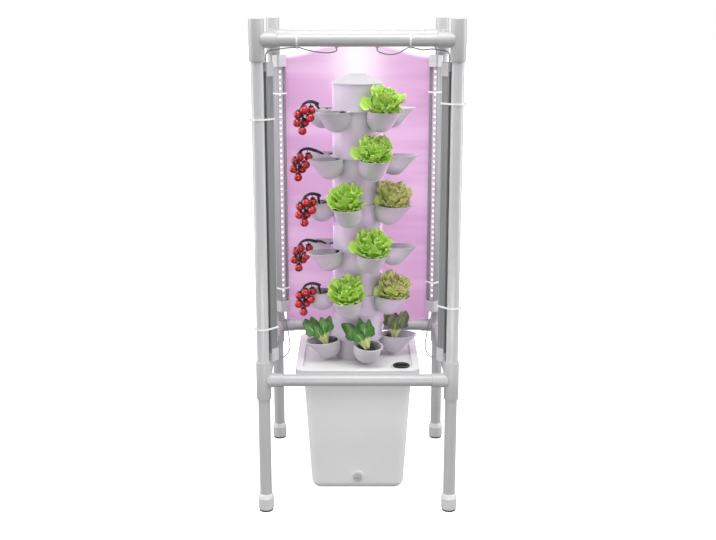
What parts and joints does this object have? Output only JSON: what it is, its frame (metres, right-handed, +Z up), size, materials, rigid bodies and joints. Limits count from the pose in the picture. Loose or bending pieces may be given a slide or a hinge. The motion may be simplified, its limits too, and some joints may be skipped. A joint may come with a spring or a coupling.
{
  "type": "hydroponic tower",
  "caption": "Stacked planting tower on a square water tank, inside a white pipe frame with LED bars; the tiers turn and the pump lifts water to the top.",
  "frame": {"origin": "on the floor, under the tower's axis, at the middle of the four feet", "axes": "+Z up along the tower, -Y towards the front, +X to the right seen from the front"},
  "size_m": [0.6656, 0.5426, 1.315],
  "materials": {
    "white_pipe": "smooth white pipe",
    "white_moulding": "satin white moulding",
    "rubber": "matt dark rubber",
    "reflector": "satin pink film",
    "channel": "grey anodised extrusion",
    "led_board": "white board with chips",
    "clear_cover": "clear plastic",
    "end_cap": "milky plastic",
    "nylon": "natural nylon",
    "lead": "white insulated lead",
    "grommet": "pale grey rubber",
    "black_plastic": "satin black moulding",
    "blue_plastic": "blue rotor",
    "sponge": "dark open foam",
    "greens": "fresh leaves and red fruit"
  },
  "bodies": {
    "stand": {"foot_pads": "rubber", "foot_caps": "white_pipe", "legs": "white_pipe", "posts": "white_pipe", "lower_corners": "white_pipe", "upper_corners": "white_pipe", "corner_plugs": "white_pipe", "lower_front_rail": "white_pipe", "lower_right_rail": "white_pipe", "lower_rear_rail": "white_pipe", "lower_left_rail": "white_pipe", "upper_front_rail": "white_pipe", "upper_right_rail": "white_pipe", "upper_rear_rail": "white_pipe", "upper_left_rail": "white_pipe", "reflector_panel": "reflector", "lamp_channels": "channel", "led_boards": "led_board", "lamp_covers": "clear_cover", "lamp_end_caps": "end_cap", "cable_ties": "nylon", "lead_grommets": "grommet", "front_right_lead": "lead", "front_left_lead": "lead", "rear_left_lead": "lead", "rear_right_lead": "lead", "lower_left_lead": "lead", "lower_right_lead": "lead", "tank_body": "white_moulding", "lid_seal": "rubber", "tank_lid": "white_moulding", "pump_body": "black_plastic", "pump_screen": "black_plastic", "pump_feet_cups": "rubber", "riser_pipe": "white_moulding", "distributor": "white_moulding"},
    "tier_6": {"tier_6": "white_moulding", "tier_6_sponges": "sponge", "tier_6_plants": "greens"},
    "tier_5": {"tier_5": "white_moulding", "tier_5_sponges": "sponge", "tier_5_plants": "greens"},
    "tier_4": {"tier_4": "white_moulding", "tier_4_sponges": "sponge", "tier_4_plants": "greens"},
    "tier_3": {"tier_3": "white_moulding", "tier_3_sponges": "sponge", "tier_3_plants": "greens"},
    "tier_2": {"tier_2": "white_moulding", "tier_2_sponges": "sponge", "tier_2_plants": "greens"},
    "tier_1": {"tier_1": "white_moulding", "tier_1_sponges": "sponge", "tier_1_plants": "greens"},
    "top_cap": {"top_cap": "white_moulding"},
    "filler_cap": {"filler_cap": "black_plastic"},
    "drain_plug": {"drain_plug": "white_moulding", "drain_washer": "rubber"},
    "pump_impeller": {"pump_impeller": "blue_plastic"}
  },
  "joints": [
    {"name": "tier_6_turn", "type": "hinge", "parent": "stand", "child": "tier_6", "pos_m": [0, 0, 0.366], "axis": [0, 0, 1], "continuous": true},
    {"name": "tier_5_turn", "type": "hinge", "parent": "tier_6", "child": "tier_5", "pos_m": [0, 0, 0.495], "axis": [0, 0, 1], "continuous": true},
    {"name": "tier_4_turn", "type": "hinge", "parent": "tier_5", "child": "tier_4", "pos_m": [0, 0, 0.624], "axis": [0, 0, 1], "continuous": true},
    {"name": "tier_3_turn", "type": "hinge", "parent": "tier_4", "child": "tier_3", "pos_m": [0, 0, 0.753], "axis": [0, 0, 1], "continuous": true},
    {"name": "tier_2_turn", "type": "hinge", "parent": "tier_3", "child": "tier_2", "pos_m": [0, 0, 0.882], "axis": [0, 0, 1], "continuous": true},
    {"name": "tier_1_turn", "type": "hinge", "parent": "tier_2", "child": "tier_1", "pos_m": [0, 0, 1.011], "axis": [0, 0, 1], "continuous": true},
    {"name": "top_cap_lift", "type": "slide", "parent": "tier_1", "child": "top_cap", "axis": [0, 0, 1], "range_m": [0, 0.05]},
    {"name": "filler_cap_lift", "type": "slide", "parent": "stand", "child": "filler_cap", "axis": [0, 0, 1], "range_m": [0, 0.025]},
    {"name": "drain_plug_pull", "type": "slide", "parent": "stand", "child": "drain_plug", "axis": [0, -1, 0], "range_m": [0, 0.03]},
    {"name": "impeller_spin", "type": "hinge", "parent": "stand", "child": "pump_impeller", "pos_m": [0, 0, 0.042], "axis": [0, 1, 0], "continuous": true}
  ]
}
